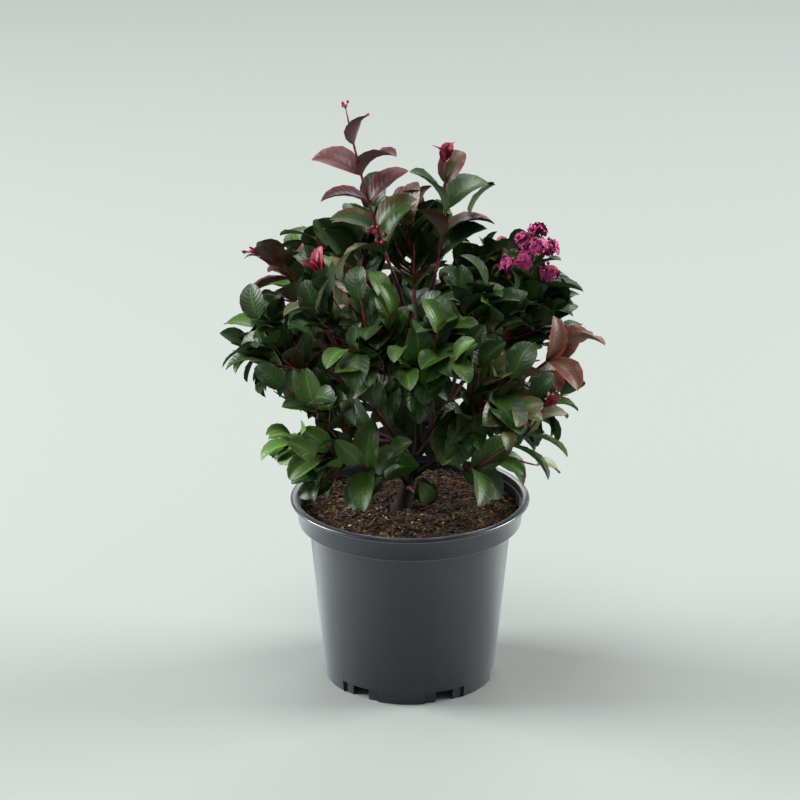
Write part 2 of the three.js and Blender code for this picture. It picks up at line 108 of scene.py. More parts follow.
pot_profile = np.concatenate([
    [[BODY_FOOT_RADIUS - FOOT_RING, BASE_HEIGHT], [BODY_FOOT_RADIUS - FOOT_RING, 0.6]],
    arc(BODY_FOOT_RADIUS - 3.8, 0.6, 0.6, 180, 270, 4),
    arc(BODY_FOOT_RADIUS - 1.4, 1.4, 1.4, -90, 0),
    [[BODY_TOP_RADIUS, COLLAR_HEIGHT - 2.4]],
    [[BODY_TOP_RADIUS + 0.6, COLLAR_HEIGHT - 1.4], [BODY_TOP_RADIUS + 2, COLLAR_HEIGHT - 0.9]],
    arc(COLLAR_RADIUS - 1.3, COLLAR_HEIGHT + 0.7, 1.3, -90, 0),
    [[RIM_RADIUS - 5.5, POT_HEIGHT - 4.2], [RIM_RADIUS - 5.1, POT_HEIGHT - 3.5]],
    arc(RIM_RADIUS - LIP_ROLL, POT_HEIGHT - LIP_ROLL, LIP_ROLL, -90, 90, 9),
    arc(RIM_RADIUS - 5.4, POT_HEIGHT - 1.2, 1.2, 90, 180, 5),
    [[RIM_RADIUS - 7.4, POT_HEIGHT - 5.5], [RIM_RADIUS - 8.6, POT_HEIGHT - 6.2]],
    [[COLLAR_RADIUS - WALL, COLLAR_HEIGHT + 2.6], [BODY_TOP_RADIUS - WALL, COLLAR_HEIGHT - 1.5]],
    [[BODY_FOOT_RADIUS - WALL, BASE_HEIGHT + WALL]],
])
pot_angles = 2 * np.pi * np.arange(POT_SIDES) / POT_SIDES
pot_points = np.stack([
    pot_profile[:, :1] * np.cos(pot_angles),
    pot_profile[:, :1] * np.sin(pot_angles),
    pot_profile[:, 1:] + 0 * pot_angles,
], -1).reshape(-1, 3)
pot_poles = [[0, 0, BASE_HEIGHT], [0, 0, BASE_HEIGHT + WALL]]
pot_ring = np.arange(POT_SIDES)
pot_last = len(pot_points) - POT_SIDES
pot_caps = np.concatenate([
    np.stack([np.full(POT_SIDES, len(pot_points)), np.roll(pot_ring, -1), pot_ring], 1),
    np.stack([np.full(POT_SIDES, len(pot_points) + 1), pot_last + pot_ring,
              pot_last + np.roll(pot_ring, -1)], 1),
])


def grid_faces(rows, columns, count=1, wrap=False):
    """Four-cornered faces of count grids of rows by columns points; a wrapped grid joins its sides."""
    number = np.arange(rows * columns).reshape(rows, columns)
    if wrap:
        number = np.hstack([number, number[:, :1]])
    quads = np.stack([number[:-1, :-1], number[:-1, 1:], number[1:, 1:], number[1:, :-1]], -1)
    starts = np.arange(count)[:, None, None] * rows * columns
    return (quads.reshape(1, -1, 4) + starts).reshape(-1, 4)


def foot_cutter(middle, half, depth):
    """A closed block over a stretch of the foot ring, from depth inside its face out past the wall:
    the four corners of its section are repeated at each step of the turn."""
    angles = np.radians(middle - 90 + np.linspace(-half, half, CUTTER_STEPS))
    inner = BODY_FOOT_RADIUS - depth
    corners = [(inner, -1), (BODY_FOOT_RADIUS + 9, -1), (BODY_FOOT_RADIUS + 9, NOTCH_HEIGHT),
               (inner, NOTCH_HEIGHT)]
    points = np.array([[radius * np.cos(angle), radius * np.sin(angle), height]
                       for angle in angles for radius, height in corners])
    last = len(points) - 4
    ends = np.array([[3, 2, 1, 0], [last, last + 1, last + 2, last + 3]])
    return points, np.concatenate([grid_faces(CUTTER_STEPS, 4, wrap=True)[:, ::-1], ends])


# How its plastic, and every other material, is written: a Wire is one socket of a material's nodes,
# and sums of wires read as plain sums. Colours are given as they look on a screen, from 0 to 255.
class Wire:
    """One socket, with arithmetic on it; tree is the node tree of the material in hand."""
    tree = None

    def __init__(self, socket):
        self.socket = socket

    @classmethod
    def node(cls, kind, inputs=None, output=0, **settings):
        """The chosen output of a new node of that kind, with its settings and its sockets' values."""
        node = cls.tree.nodes.new(kind)
        for name, value in settings.items():
            setattr(node, name, value)
        for name, value in (inputs or {}).items():
            if isinstance(value, Wire):
                cls.tree.links.new(value.socket, node.inputs[name])
            else:
                node.inputs[name].default_value = value
        return cls(node.outputs[output])

    def maths(self, operation, *others, flip=False):
        """A Math node on this wire and the others, or with this wire last when it is flipped."""
        terms = [*others, self] if flip else [self, *others]
        return Wire.node("ShaderNodeMath", dict(enumerate(terms)), operation=operation)

    def __add__(self, other):
        return self.maths("ADD", other)

    def __sub__(self, other):
        return self.maths("SUBTRACT", other)

    def __rsub__(self, other):
        return self.maths("SUBTRACT", other, flip=True)

    def __mul__(self, other):
        return self.maths("MULTIPLY", other)

    def __pow__(self, other):
        return self.maths("POWER", other)

    def __abs__(self):
        return self.maths("ABSOLUTE")

    __radd__ = __add__
    __rmul__ = __mul__

    def ramp(self, start, end):
        """0 below start, 1 above end, smooth between them."""
        inputs = {"Value": self, "From Min": start, "From Max": end}
        return Wire.node("ShaderNodeMapRange", inputs, interpolation_type="SMOOTHSTEP")

    def mix(self, first, second):
        """The first colour where this wire is 0 and the second where it is 1."""
        return Wire.node("ShaderNodeMix", {0: self, 6: first, 7: second}, output=2, data_type="RGBA")


def colour(red, green, blue):
    """A screen colour as the four numbers that a colour socket takes."""
    parts = np.array([red, green, blue]) / 255
    return (*np.where(parts < 0.04045, parts / 12.92, ((parts + 0.055) / 1.055) ** 2.4), 1)


def noise(scale, detail=3, stretch=(1, 1, 1)):
    """Cloudy noise in the piece's own place, with about scale clouds in a metre."""
    place = Wire.node("ShaderNodeTexCoord", output=3)
    if stretch != (1, 1, 1):
        place = Wire.node("ShaderNodeVectorMath", {0: place, 1: stretch}, operation="MULTIPLY")
    return Wire.node("ShaderNodeTexNoise", {"Vector": place, "Scale": scale, "Detail": detail})


def bumps(height, strength, depth):
    """A surface normal that follows the height, whose full range is depth metres."""
    return Wire.node("ShaderNodeBump", {"Height": height, "Strength": strength, "Distance": depth})


def start_material(name):
    """A new material with nodes, which becomes the material in hand."""
    material = bpy.data.materials.new(name)
    material.use_nodes = True
    Wire.tree = material.node_tree
    return material


def finish_material(**sockets):
    """Plugs wires and values into the surface of the material in hand."""
    surface = Wire.tree.nodes["Principled BSDF"]
    for name, given in sockets.items():
        socket = surface.inputs[name.replace("_", " ")]
        if isinstance(given, Wire):
            Wire.tree.links.new(given.socket, socket)
        else:
            socket.default_value = given


pot_plastic = start_material("charcoal plastic")
pot_cloud = noise(9)
pot_scuffs = noise(120, 5, (1, 1, 0.08))
pot_dust = noise(60, 6).ramp(0.5, 0.8) * 0.04
pot_edge = Wire.node("ShaderNodeLayerWeight", {"Blend": 0.5}, output=1)
pot_base = pot_cloud.mix(colour(14, 18, 28), colour(22, 27, 39))
finish_material(
    Base_Color=pot_dust.mix(pot_base, colour(92, 94, 95)),
    Roughness=0.36 + 0.04 * pot_cloud + 0.06 * pot_scuffs,
    Coat_Weight=pot_edge.ramp(0.06, 0.42),
    Coat_Roughness=0.2,
    Sheen_Weight=0.75,
    Sheen_Roughness=0.28,
    Sheen_Tint=(0.82, 0.92, 1, 1),
    Normal=bumps(noise(900, 2) * 0.3 + pot_scuffs, 0.25, 0.0002),
)

# How its surface, and every other piece, becomes a mesh. All is worked out in millimetres as whole
# arrays of points. A value or a texture place is given for each point and kept with the mesh.
METRES = 0.001


def add_piece(name, points, faces, material, uv=None, values=None, smooth=True):
    """A mesh that rides on the part's one body, from points (n, 3) in mm and arrays of face corners."""
    points = np.asarray(points, float).reshape(-1, 3) * METRES
    corners = np.concatenate([rows.ravel() for rows in faces])
    counts = np.concatenate([np.full(len(rows), rows.shape[1]) for rows in faces])
    mesh = bpy.data.meshes.new(name)
    mesh.vertices.add(len(points))
    mesh.vertices.foreach_set("co", points.ravel())
    mesh.loops.add(len(corners))
    mesh.loops.foreach_set("vertex_index", corners.astype(np.int32))
    mesh.polygons.add(len(counts))
    mesh.polygons.foreach_set("loop_start", (np.cumsum(counts) - counts).astype(np.int32))
    mesh.polygons.foreach_set("use_smooth", np.full(len(counts), smooth))
    if uv is not None:
        layer = mesh.uv_layers.new(name="place")
        layer.data.foreach_set("uv", np.asarray(uv, float).reshape(-1, 2)[corners].ravel())
    for key, row in (values or {}).items():
        mesh.attributes.new(key, "FLOAT", "POINT").data.foreach_set("value", np.asarray(row, float).ravel())
    mesh.update(calc_edges=True)
    mesh.validate()
    mesh.materials.append(material)
    piece = bpy.data.objects.new(name.replace(" ", "_"), mesh)
    bpy.context.scene.collection.objects.link(piece)
    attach(piece, "root")
    return piece


pot = add_piece("pot body", np.concatenate([pot_points, pot_poles]),
                [grid_faces(len(pot_profile), POT_SIDES, wrap=True), pot_caps], pot_plastic)
for foot in range(FEET):
    middle = FOOT_TURN + 360 / FEET * (foot + 0.5)
    for half, depth in ((RECESS_HALF, RECESS_DEPTH), (NOTCH_HALF, NOTCH_DEPTH)):
        points, faces = foot_cutter(middle, half, depth)
        cutter = add_piece("cutter", points, [faces], pot_plastic)
        cut = pot.modifiers.new("cut", "BOOLEAN")
        cut.object = cutter
        cut.operation = "DIFFERENCE"
cut_pot = bpy.data.meshes.new_from_object(pot.evaluated_get(bpy.context.evaluated_depsgraph_get()))
pot.modifiers.clear()
pot.data = cut_pot
for cutter in [piece for piece in bpy.data.objects if piece.name.startswith("cutter")]:
    bpy.data.objects.remove(cutter)
edges = bmesh.new()
edges.from_mesh(cut_pot)
for edge in edges.edges:
    edge.smooth = edge.calc_face_angle(0) < SHARP_EDGE
edges.to_mesh(cut_pot)
edges.free()
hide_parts("pot")

# The soil: moist bark and coir compost, a little heaped at the right back and round the trunk. A
# lumpy surface carries thousands of chips, fibres and a few pale grains of fertiliser. Towards the
# trunk the chips are painted darker: painted shade under the crown.
SOIL_TOP = 164
SOIL_RADIUS = 100.2
SOIL_RINGS, SOIL_SIDES = 90, 220
HEAP_X, HEAP_Y = 50, 55
PAINTED_SHADE_RADIUS = 80
CHIPS = 4800
FIBRES = 1500
GRAINS = 90
spray = np.random.default_rng(7)


def soil_height(x, y):
    """Millimetres above the ground: a low heap, a mound at the trunk and lumps of three sizes."""
    heap = 2.2 * np.exp(-((x - HEAP_X) ** 2 + (y - HEAP_Y) ** 2) / 2400)
    mound = 1.6 * np.exp(-(x ** 2 + y ** 2) / 500)
    lumps = 1.2 * np.sin(x / 9 + 2 * np.sin(y / 13)) * np.cos(y / 8 + np.sin(x / 7))
    small = 0.6 * np.sin(x / 2.7 + np.sin(y / 3.1)) * np.sin(y / 2.3 + np.cos(x / 3.7))
    return SOIL_TOP - 2.6 + heap + mound + lumps + small


soil_radii = np.linspace(0.4, SOIL_RADIUS, SOIL_RINGS)[:, None]
soil_angles = 2 * np.pi * np.arange(SOIL_SIDES) / SOIL_SIDES
soil_x = soil_radii * np.cos(soil_angles)
soil_y = soil_radii * np.sin(soil_angles)
soil_points = np.stack([soil_x, soil_y, soil_height(soil_x, soil_y)], -1)
soil_cover = start_material("dark compost")
soil_cloud = noise(70, 6)
soil_grit = noise(600, 5)
finish_material(
    Base_Color=soil_cloud.ramp(0.35, 0.65).mix(colour(14, 9, 6), colour(38, 25, 15)),
    Roughness=0.95,
    Normal=bumps(soil_cloud + soil_grit, 0.8, 0.0016),
)
soil_faces = grid_faces(SOIL_RINGS, SOIL_SIDES, wrap=True)[:, ::-1]
soil = add_piece("soil surface", soil_points, [soil_faces], soil_cover)
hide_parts("soil")


def scattered(count, reach):
    """Places on the soil spread evenly over a disc of that radius."""
    radius = reach * np.sqrt(spray.random(count))
    angle = spray.random(count) * 2 * np.pi
    return radius * np.cos(angle), radius * np.sin(angle)


def turned(points, heading, tilt):
    """Each row of points tipped about its own Y axis, then turned about Z, by angles in radians."""
    x, y, z = points[..., 0], points[..., 1], points[..., 2]
    heading, tilt = heading[:, None], tilt[:, None]
    level, height = x * np.cos(tilt) - z * np.sin(tilt), x * np.sin(tilt) + z * np.cos(tilt)
    return np.stack([level * np.cos(heading) - y * np.sin(heading),
                     level * np.sin(heading) + y * np.cos(heading), height], -1)


def value(name):
    """The value that a piece's mesh keeps for each point."""
    return Wire.node("ShaderNodeAttribute", output=2, attribute_name=name)


def chip_material(name, dark, light):
    """Grained wood between a dark and a light tint, by each chip's own shade."""
    material = start_material(name)
    grain = noise(900, 4, (1, 1, 0.3))
    shade = (value("shade") * 0.8 + grain * 0.45).ramp(0.2, 1.1)
    finish_material(Base_Color=shade.mix(colour(*dark), colour(*light)), Roughness=0.85,
                    Normal=bumps(grain, 0.5, 0.0004))
    return material


box_corners = np.array([[x, y, z] for x in (-1, 1) for y in (-1, 1) for z in (-1, 1)], float) / 2
box_faces = np.array([[0, 1, 3, 2], [4, 6, 7, 5], [0, 4, 5, 1], [2, 3, 7, 6], [0, 2, 6, 4], [1, 5, 7, 3]])
CHIP_TINTS = (
    ("dark bark chips", (18, 12, 8), (48, 31, 19), 0.46),
    ("brown bark chips", (40, 25, 14), (96, 62, 34), 0.34),
    ("orange bark chips", (66, 38, 17), (136, 84, 42), 0.1),
    ("straw coloured chips", (62, 56, 26), (120, 104, 56), 0.1),
)
for name, dark, light, share in CHIP_TINTS:
    count = int(CHIPS * share)
    x, y = scattered(count, SOIL_RADIUS - 4)
    sizes = np.stack([spray.uniform(2.5, 7, count) + 8 * spray.random(count) ** 4,
                      spray.uniform(1.1, 3.6, count), spray.uniform(0.5, 1.5, count)], 1)
    uneven = box_corners * spray.uniform(0.65, 1.25, (count, 8, 3))
    heading = spray.uniform(0, 2 * np.pi, count)
    chips = turned(uneven * sizes[:, None], heading, spray.normal(0, 0.32, count))
    chips += np.stack([x, y, soil_height(x, y) + spray.uniform(-0.2, 1.3, count)], 1)[:, None]
    faces = (box_faces + np.arange(count)[:, None, None] * 8).reshape(-1, 4)
    # Painted shade: each chip's shade is lowered towards the trunk, where the crown's shade falls.
    painted_shade_share = np.clip(np.hypot(x, y) / PAINTED_SHADE_RADIUS, 0.2, 1)
    shade = np.repeat(spray.random(count) * painted_shade_share, 8)
    piece = add_piece(name, chips, [faces], chip_material(name, dark, light),
                      values={"shade": shade}, smooth=False)


THREAD_STEPS, THREAD_SIDES = 5, 3


def soil_threads(name, count, length, thickness, material, home):
    """Bent fibres with a round section that thins to its ends, lying on the soil about home, which
    is the place and the reach. Each is an arc whose bend grows as the square of the run along it."""
    run = np.linspace(-0.5, 0.5, THREAD_STEPS)
    ring = 2 * np.pi * np.arange(THREAD_SIDES) / THREAD_SIDES
    sizes = spray.uniform(0.5, 1, count) * length
    bend = spray.normal(0, 0.35, count)[:, None] * sizes[:, None]
    along = np.stack([run * sizes[:, None], bend * (run ** 2 * 4 - 0.5), 0.9 + 0 * bend * run], -1)
    thin = thickness * np.cos(run * 2.6)[:, None, None]
    section = thin * np.stack([0 * ring, np.cos(ring), np.sin(ring)], -1)
    points = (along[:, :, None] + section).reshape(count, -1, 3)
    points = turned(points, spray.uniform(0, 2 * np.pi, count), spray.normal(0, 0.12, count))
    x, y = scattered(count, home[2])
    x, y = x + home[0], y + home[1]
    points += np.stack([x, y, soil_height(x, y)], 1)[:, None]
    shade = np.repeat(spray.random(count), THREAD_STEPS * THREAD_SIDES)
    faces = grid_faces(THREAD_STEPS, THREAD_SIDES, count, wrap=True)
    piece = add_piece(name, points, [faces], material, values={"shade": shade})


soil_threads("coir fibres", FIBRES, 15, 0.34,
             chip_material("coir fibres", (44, 27, 14), (124, 84, 46)), (0, 0, SOIL_RADIUS - 9))
soil_threads("red fibres", FIBRES // 4, 17, 0.4,
             chip_material("red fibres", (66, 34, 20), (138, 78, 46)), (48, 52, 26))
grain_material = chip_material("pale grains", (150, 128, 70), (206, 190, 128))
BALL_ROWS, BALL_SIDES = 6, 8
ball_turn, ball_rise = np.meshgrid(2 * np.pi * np.arange(BALL_SIDES) / BALL_SIDES,
                                   np.linspace(-1.5, 1.5, BALL_ROWS))
ball = np.stack([np.cos(ball_rise) * np.cos(ball_turn), np.cos(ball_rise) * np.sin(ball_turn),
                 np.sin(ball_rise)], -1).reshape(-1, 3)
x, y = scattered(GRAINS, 50)
x, y = x - 30, y - 36
centres = np.stack([x, y, soil_height(x, y) + 0.9], 1)
grains = centres[:, None] + ball * spray.uniform(0.7, 1.5, (GRAINS, 1, 1))
grain_shade = np.repeat(spray.random(GRAINS), BALL_ROWS * BALL_SIDES)
grain_faces = grid_faces(BALL_ROWS, BALL_SIDES, GRAINS, wrap=True)
piece = add_piece("pale grains", grains, [grain_faces], grain_material, values={"shade": grain_shade})

# How the plant grows: a short trunk, boughs that leave it or each other, and on every bough a mass of
# paired leaves on a stem and its forks. The rule and its seeds are those of the solids, and each mass
# then grows finer twigs of its own between the first ones.
TRUNK_POINTS = np.array([[-7, -3, SOIL_TOP], [-3, -3, 190], [6, 0, 216]], float)
TRUNK_RADII = (6.6, 4.8)
BOUGH_RADII = (3.4, 1.8)
STEM_RADII = (1.6, 0.9)
TWIG_RADII = (1.2, 0.8)
PAIR_SPREAD = math.pi / 3
HALF_WIDTH = 0.3
LEAF_LIFT, LEAF_SPLAY = 0.62, 0.55
RISE_SHARE = 0.38
SPACE_MARGIN = 2.6
TWIG_MARGIN = 4
LIMB_MARGIN = 2.2
LEAF_MARGIN = 6.6
FINE_MARGIN = 3.0
FINE_PAIR_SHARES = (0.9, 0.7, 0.5, 0.3)
FINE_FORK_SHARES = (0.0, 0.28, 0.55, 0.14, 0.42, 0.08, 0.35, 0.2)
FINE_LENGTH = 0.88
FINE_REACH = 0.85
TUFT_MARGIN = 0.3
TUFT_LEAVES = 5
MOUTH_RADIUS = 97
SOIL_CLEARANCE, RIM_CLEARANCE = 4, 3
OUTER_SHARE = 0.85
OPEN_MASSES = ("crown_top", "crown_right", "left_high", "right_bronze", "right_low", "right_bottom",
               "foot_sprig", "front_left_low")
REACH = np.array([175, 152, 555])
CROWN_MIDDLE = np.array([0, 0, 290])
UP = np.array([0, 0, 1.0])
FRONT = np.array([0, -1, 0.001])
TRIES = ((0, 1, 1), (0.4, 1, 1), (-0.4, 1, 1), (0, 0.65, 0.95), (0.8, 0.9, 0.9), (-0.8, 0.9, 0.9),
         (0, 1, 0.75), (0.4, 0.8, 0.75), (-0.4, 0.8, 0.75), (0, 0.5, 0.7))

# Each row: name, the limb it leaves and at what share, the bough's tip, the mass's tip, pairs, forks,
# seed, leaf length and ending
MASSES = (
    ("crown_top", "trunk", 1, (-17, -25, 400), (-57, -30, 551), 5, 1, 404, 52, "buds"),
    ("crown_right", "crown_top", 0.35, (23, 5, 388), (30, 16, 491), 4, 1, 677, 64, "shoot"),
    ("shoulder", "crown_top", 0.62, (-34, 8, 372), (-28, 19, 443), 4, 1, 69, 60, "leaf"),
    ("left_back", "trunk", 0.6, (-86, 34, 290), (-144, 52, 322), 4, 1, 179, 54, "leaf"),
    ("left_high", "left_back", 0.45, (-84, 8, 350), (-138, 2, 404), 4, 2, 210, 50, "shoot"),
    ("whorl", "left_high", 0.35, (-50, -52, 336), (-82, -75, 416), 4, 2, 497, 64, "shoot"),
    ("left_mid", "left_high", 0.6, (-92, -35, 314), (-138, -50, 366), 4, 2, 488, 58, "leaf"),
    ("left_lower", "trunk", 0.72, (-55, -42, 256), (-112, -76, 310), 4, 2, 206, 60, "leaf"),
    ("left_bottom", "left_lower", 0.45, (-48, -50, 240), (-107, -87, 258), 4, 2, 378, 52, "leaf"),
    ("front_left_low", "trunk", 0.4, (-20, -42, 212), (-44, -100, 247), 4, 1, 382, 50, "leaf"),
    ("right_bronze", "trunk", 0.85, (76, -30, 284), (143, -56, 346), 4, 2, 470, 56, "leaf"),
    ("right_flower", "right_bronze", 0.45, (84, 0, 322), (107, -20, 394), 4, 2, 1, 60, "panicle"),
    ("right_mid", "right_bronze", 0.55, (52, -62, 278), (92, -109, 330), 4, 2, 259, 56, "leaf"),
    ("right_low", "trunk", 0.5, (72, -20, 226), (124, -19, 273), 4, 2, 355, 50, "shoot"),
    ("right_bottom", "right_low", 0.4, (44, -40, 218), (94, -72, 258), 4, 1, 780, 50, "leaf"),
    ("centre", "crown_top", 0.25, (14, -66, 320), (24, -119, 375), 4, 2, 359, 56, "leaf"),
    ("centre_left", "crown_top", 0.45, (-20, -66, 330), (-44, -96, 400), 4, 2, 628, 54, "leaf"),
    ("centre_right", "crown_right", 0.4, (42, -38, 342), (66, -58, 398), 4, 2, 156, 56, "leaf"),
    ("heart", "centre", 0.36, (0, -26, 296), (-7, -28, 338), 3, 2, 150, 52, "leaf"),
    ("rear_top", "crown_top", 0.5, (4, 40, 366), (-8, 63, 436), 4, 1, 570, 62, "buds"),
    ("rear_left_high", "left_back", 0.7, (-54, 62, 330), (-92, 94, 396), 4, 2, 89, 62, "leaf"),
    ("rear_left_low", "left_back", 0.4, (-46, 58, 256), (-84, 109, 279), 4, 1, 7, 64, "leaf"),
    ("rear_right", "trunk", 0.78, (56, 50, 278), (130, 96, 332), 4, 1, 62, 52, "leaf"),
    ("rear_right_high", "rear_right", 0.6, (52, 56, 336), (84, 80, 386), 4, 1, 85, 52, "shoot"),
    ("rear_mid", "rear_right", 0.35, (6, 66, 288), (25, 119, 353), 4, 2, 641, 56, "leaf"),
    ("rear_low", "trunk", 0.35, (0, 48, 218), (8, 104, 244), 4, 1, 165, 50, "leaf"),
    ("right_rear_low", "right_low", 0.3, (60, 24, 236), (146, 39, 259), 4, 1, 187, 52, "leaf"),
    ("foot_sprig", "trunk", 0.34, (6, -22, 184), (16, -62, 192), 3, 0, 8, 40, "leaf"),
)

# The tints of each mass's inner, outer and youngest leaves
MASS_TINTS = {
    "olive purple purple": "crown_top",
    "deep bronze pink": "crown_right",
    "olive bronze pink": "left_high",
    "deep olive pink": "whorl rear_right_high",
    "deep mid mid": "shoulder centre_left foot_sprig rear_right heart front_left_low centre rear_mid",
    "deep deep mid": "right_flower centre_right",
    "deep mid olive": "left_back rear_left_high rear_left_low right_rear_low left_lower",
    "deep olive olive": "left_mid right_mid",
    # The lighter green on the next two rows is painted light on low masses whose leaves catch more light.
    "deep fresh fresh": "left_bottom rear_low",
    "deep mid fresh": "right_bottom",
    "deep rust rust": "right_bronze",
    "mid pale pink": "right_low",
    "deep mid bronze": "rear_top",
}
tints_of = {mass: tints.split() for tints, names in MASS_TINTS.items() for mass in names.split()}
tint_spray = np.random.default_rng(5)


class Dice:
    """Seeded numbers: each state is the last times 48271, over the prime 2^31 - 1."""

    def __init__(self, seed):
        self.state = ((seed + 11) * 7919) % 2147483647
        for spare in range(3):
            self.roll()

    def roll(self):
        self.state = (self.state * 48271) % 2147483647
        return self.state / 2147483647

    def between(self, low, high):
        return low + (high - low) * self.roll()


def unit(way):
    """Each direction over its own length."""
    return way / np.linalg.norm(way, axis=-1, keepdims=True)


def square_to(way, axis):
    """The part of a direction that is square to the axis, as a direction."""
    return unit(way - axis * np.sum(way * axis, -1, keepdims=True))


def around(axis, angle):
    """A direction square to the axis, at an angle round it measured from the front."""
    front = square_to(FRONT, axis)
    return front * math.cos(angle) + np.cross(axis, front) * math.sin(angle)


class Limb:
    """A quadratic curve whose radius falls evenly from root to tip. Its point at a share t is
    (1 - t)^2 root + 2 t (1 - t) bend + t^2 tip, and its way there is that curve's slope."""

    def __init__(self, root, way, lead, tip, radii):
        self.root = root
        self.bend = root + way * np.linalg.norm(tip - root) * lead
        self.tip = tip
        self.radii = radii

    def at(self, share):
        share = np.asarray(share, float)[..., None]
        back = 1 - share
        return back ** 2 * self.root + 2 * share * back * self.bend + share ** 2 * self.tip

    def way(self, share):
        share = np.asarray(share, float)[..., None]
        return unit((self.bend - self.root) * (1 - share) + (self.tip - self.bend) * share)

    def radius(self, share):
        return self.radii[0] + (self.radii[1] - self.radii[0]) * np.asarray(share)


foot, bend, top = TRUNK_POINTS
trunk_lead = np.linalg.norm(bend - foot) / np.linalg.norm(top - foot)
limbs = {"trunk": Limb(foot, unit(bend - foot), trunk_lead, top, TRUNK_RADII)}
for name, parent, share, tip, *rest in MASSES:
    root = limbs[parent].at(share)
    out = unit(np.array(tip, float) - root)
    way = unit(0.6 * limbs[parent].way(share) + 0.7 * out)
    thick = min(float(limbs[parent].radius(share)) * 0.8, BOUGH_RADII[0])
    radii = (thick, min(thick, BOUGH_RADII[1]))
    limbs[name] = Limb(root, way, 0.5, np.array(tip, float), radii)

mass_starts = np.array([row[3] for row in MASSES], float)
mass_ends = np.array([row[4] for row in MASSES], float)
limb_steps = {name: np.linspace(0, 1, 7 if name == "trunk" else 6) for name in limbs}
limb_starts = np.concatenate([limb.at(limb_steps[name][:-1]) for name, limb in limbs.items()])
limb_ends = np.concatenate([limb.at(limb_steps[name][1:]) for name, limb in limbs.items()])
limb_radii = np.concatenate([(limb.radius(limb_steps[name][1:]) + limb.radius(limb_steps[name][:-1])) / 2
                             for name, limb in limbs.items()])


def distances(points, starts, ends):
    """The distance from every point to every straight stretch, as a table."""
    along = ends - starts
    share = np.einsum("psk,sk->ps", points[:, None] - starts, along) / np.sum(along ** 2, 1)
    nearest = starts + np.clip(share, 0, 1)[..., None] * along
    return np.linalg.norm(points[:, None] - nearest, axis=-1)


def in_space(row, points, space_margin, limb_margin):
    """True where the points are nearer to their own mass's axis than to any other, and off all limbs."""
    reach = distances(points, mass_starts, mass_ends)
    own = reach[:, row].copy()
    reach[:, row] = np.inf
    near_limb = distances(points, limb_starts, limb_ends) - limb_radii
    return (own + space_margin <= reach.min(1)).all() and (near_limb >= limb_margin).all()


def over_pot(points):
    """True where the points are off the soil and the rim, and within the plant's whole reach."""
    in_mouth = np.hypot(points[:, 0], points[:, 1]) < MOUTH_RADIUS
    floor = np.where(in_mouth, SOIL_TOP + SOIL_CLEARANCE, POT_HEIGHT + RIM_CLEARANCE)
    return (points[:, 2] >= floor).all() and (np.abs(points) <= REACH).all()


def leaf_surface(leaf, share, across):
    """Points of leaves: a rib that is an arc, and halves that rise from it by the fold. Across runs
    from -1 to 1 in half widths; share and across are grids that every leaf is given alike."""
    base, axis, normal = (leaf[key][..., None, :] for key in ("base", "axis", "normal"))
    length, arch, fold = (leaf[key][..., None] for key in ("length", "arch", "fold"))
    start, turn = -arch * RISE_SHARE, arch * (share - RISE_SHARE)
    run = length * (np.sin(turn) - np.sin(start)) / arch
    rise = length * (np.cos(turn) - np.cos(start)) / arch
    lift = normal * np.cos(turn)[..., None] + axis * np.sin(turn)[..., None]
    half = leaf["half"][..., None]
    out = np.cross(normal, axis) * (across * half * np.cos(fold))[..., None]
    up = lift * (np.abs(across) * half * np.sin(fold))[..., None]
    return base + axis * run[..., None] + normal * rise[..., None] + out + up


TEST_SHARES = np.array([0.3, 0.5, 0.75, 1, 0.3, 0.3, 0.5, 0.5, 0.68, 0.68])
TEST_ACROSS = np.array([0, 0, 0, 0, 0.86, -0.86, 1, -1, 0.8, -0.8])


